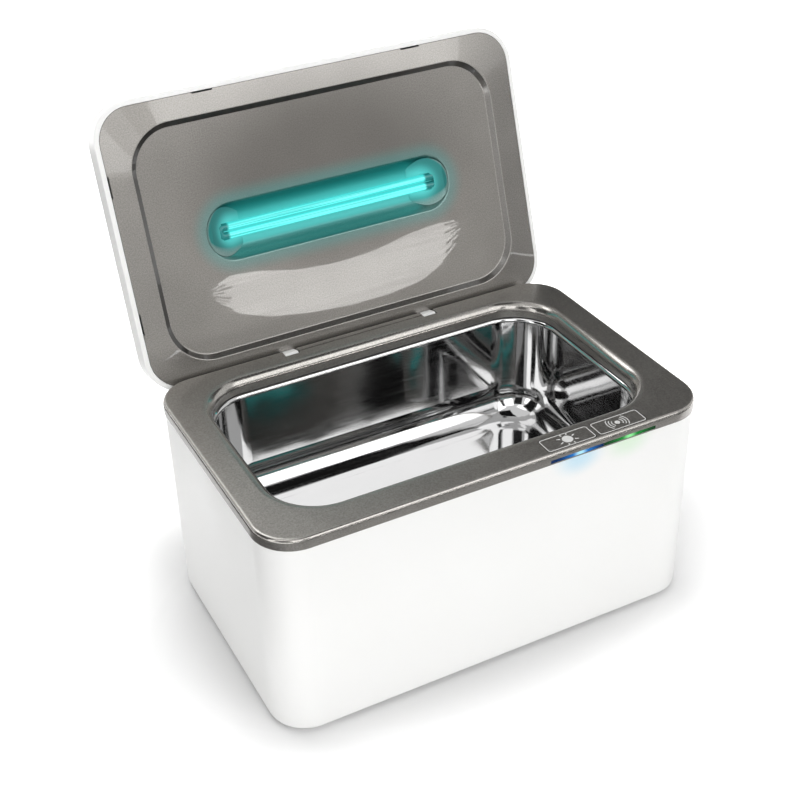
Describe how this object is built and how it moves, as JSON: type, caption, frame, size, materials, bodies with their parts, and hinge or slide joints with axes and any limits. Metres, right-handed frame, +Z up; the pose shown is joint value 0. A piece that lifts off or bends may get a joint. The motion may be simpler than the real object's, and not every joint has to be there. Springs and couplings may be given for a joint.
{
  "type": "ultrasonic jewelry cleaner",
  "caption": "Countertop ultrasonic cleaner: rounded box body, deck with push keys and a light bar, polished steel tank, and a hinged lid with a lamp in its liner.",
  "frame": {"origin": "middle of the footprint, on the surface the feet stand on", "axes": "+X to the right along the long side, +Y to the back where the hinge is, +Z up"},
  "size_m": [0.2, 0.1795, 0.2135],
  "materials": {
    "housing": "satin white moulding",
    "base_plate": "fine grain",
    "feet": "matt",
    "base_screws": "zinc plated",
    "deck": "satin grey moulding",
    "deck_screws": "zinc plated",
    "tank": "polished stainless steel",
    "tank_gasket": "soft silicone",
    "tank_clips": "plain",
    "clip_screws": "zinc plated",
    "piezo_bond": "cast resin",
    "piezo_disc": "fired ceramic",
    "piezo_electrode": "fired silver",
    "lamp_key": "satin grey moulding",
    "clean_key": "satin grey moulding",
    "light_bar_blue": "clear, tinted blue by its light",
    "light_bar_green": "clear, tinted green by its light",
    "light_divider": "dark",
    "control_board": "solder resist",
    "panel_screws": "zinc plated",
    "key_switches": "moulded",
    "status_lights": "clear resin",
    "hinge_pin": "drawn wire",
    "lid_cover": "satin white moulding",
    "lid_liner": "satin grey moulding",
    "uv_lamp": "clear quartz tube",
    "lamp_caps": "plain",
    "lamp_holders": "satin grey moulding",
    "inverter_board": "solder resist",
    "inverter_coil": "taped winding",
    "inverter_screws": "zinc plated",
    "driver_board": "solder resist",
    "board_screws": "zinc plated",
    "transformer_core": "ferrite",
    "transformer_coil": "taped winding",
    "choke_core": "ferrite",
    "choke_coil": "enamelled copper wire",
    "heat_sink": "extruded",
    "power_transistors": "moulded",
    "smoothing_capacitors": "sleeved can",
    "film_capacitor": "moulded box",
    "fuse_clips": "sheet",
    "fuse": "clear tube",
    "board_terminals": "moulded",
    "power_inlet": "moulded",
    "inlet_contacts": "nickel plated"
  },
  "bodies": {
    "base": {"housing": "housing", "base_plate": "base_plate", "feet": "feet", "base_screws": "base_screws", "deck": "deck", "deck_screws": "deck_screws", "tank": "tank", "tank_gasket": "tank_gasket", "tank_clips": "tank_clips", "clip_screws": "clip_screws", "piezo_bond": "piezo_bond", "piezo_disc": "piezo_disc", "piezo_electrode": "piezo_electrode", "light_bar_blue": "light_bar_blue", "light_bar_green": "light_bar_green", "light_divider": "light_divider", "control_board": "control_board", "panel_screws": "panel_screws", "key_switches": "key_switches", "status_lights": "status_lights", "hinge_pin": "hinge_pin", "driver_board": "driver_board", "board_screws": "board_screws", "transformer_core": "transformer_core", "transformer_coil": "transformer_coil", "choke_core": "choke_core", "choke_coil": "choke_coil", "heat_sink": "heat_sink", "power_transistors": "power_transistors", "smoothing_capacitors": "smoothing_capacitors", "film_capacitor": "film_capacitor", "fuse_clips": "fuse_clips", "fuse": "fuse", "board_terminals": "board_terminals", "power_inlet": "power_inlet", "inlet_contacts": "inlet_contacts"},
    "lid": {"lid_cover": "lid_cover", "lid_liner": "lid_liner", "uv_lamp": "uv_lamp", "lamp_caps": "lamp_caps", "lamp_holders": "lamp_holders", "inverter_board": "inverter_board", "inverter_coil": "inverter_coil", "inverter_screws": "inverter_screws"},
    "lamp_key": {"lamp_key": "lamp_key"},
    "clean_key": {"clean_key": "clean_key"}
  },
  "joints": [
    {"name": "lid_hinge", "type": "hinge", "parent": "base", "child": "lid", "pos_m": [0, 0.0608, 0.0967], "axis": [1, 0, 0], "range_deg": [0, 108]},
    {"name": "lamp_key_press", "type": "slide", "parent": "base", "child": "lamp_key", "axis": [0, 0, -1], "range_m": [0, 0.0005], "stiffness_N_per_m": 3000},
    {"name": "clean_key_press", "type": "slide", "parent": "base", "child": "clean_key", "axis": [0, 0, -1], "range_m": [0, 0.0005], "stiffness_N_per_m": 3000}
  ]
}
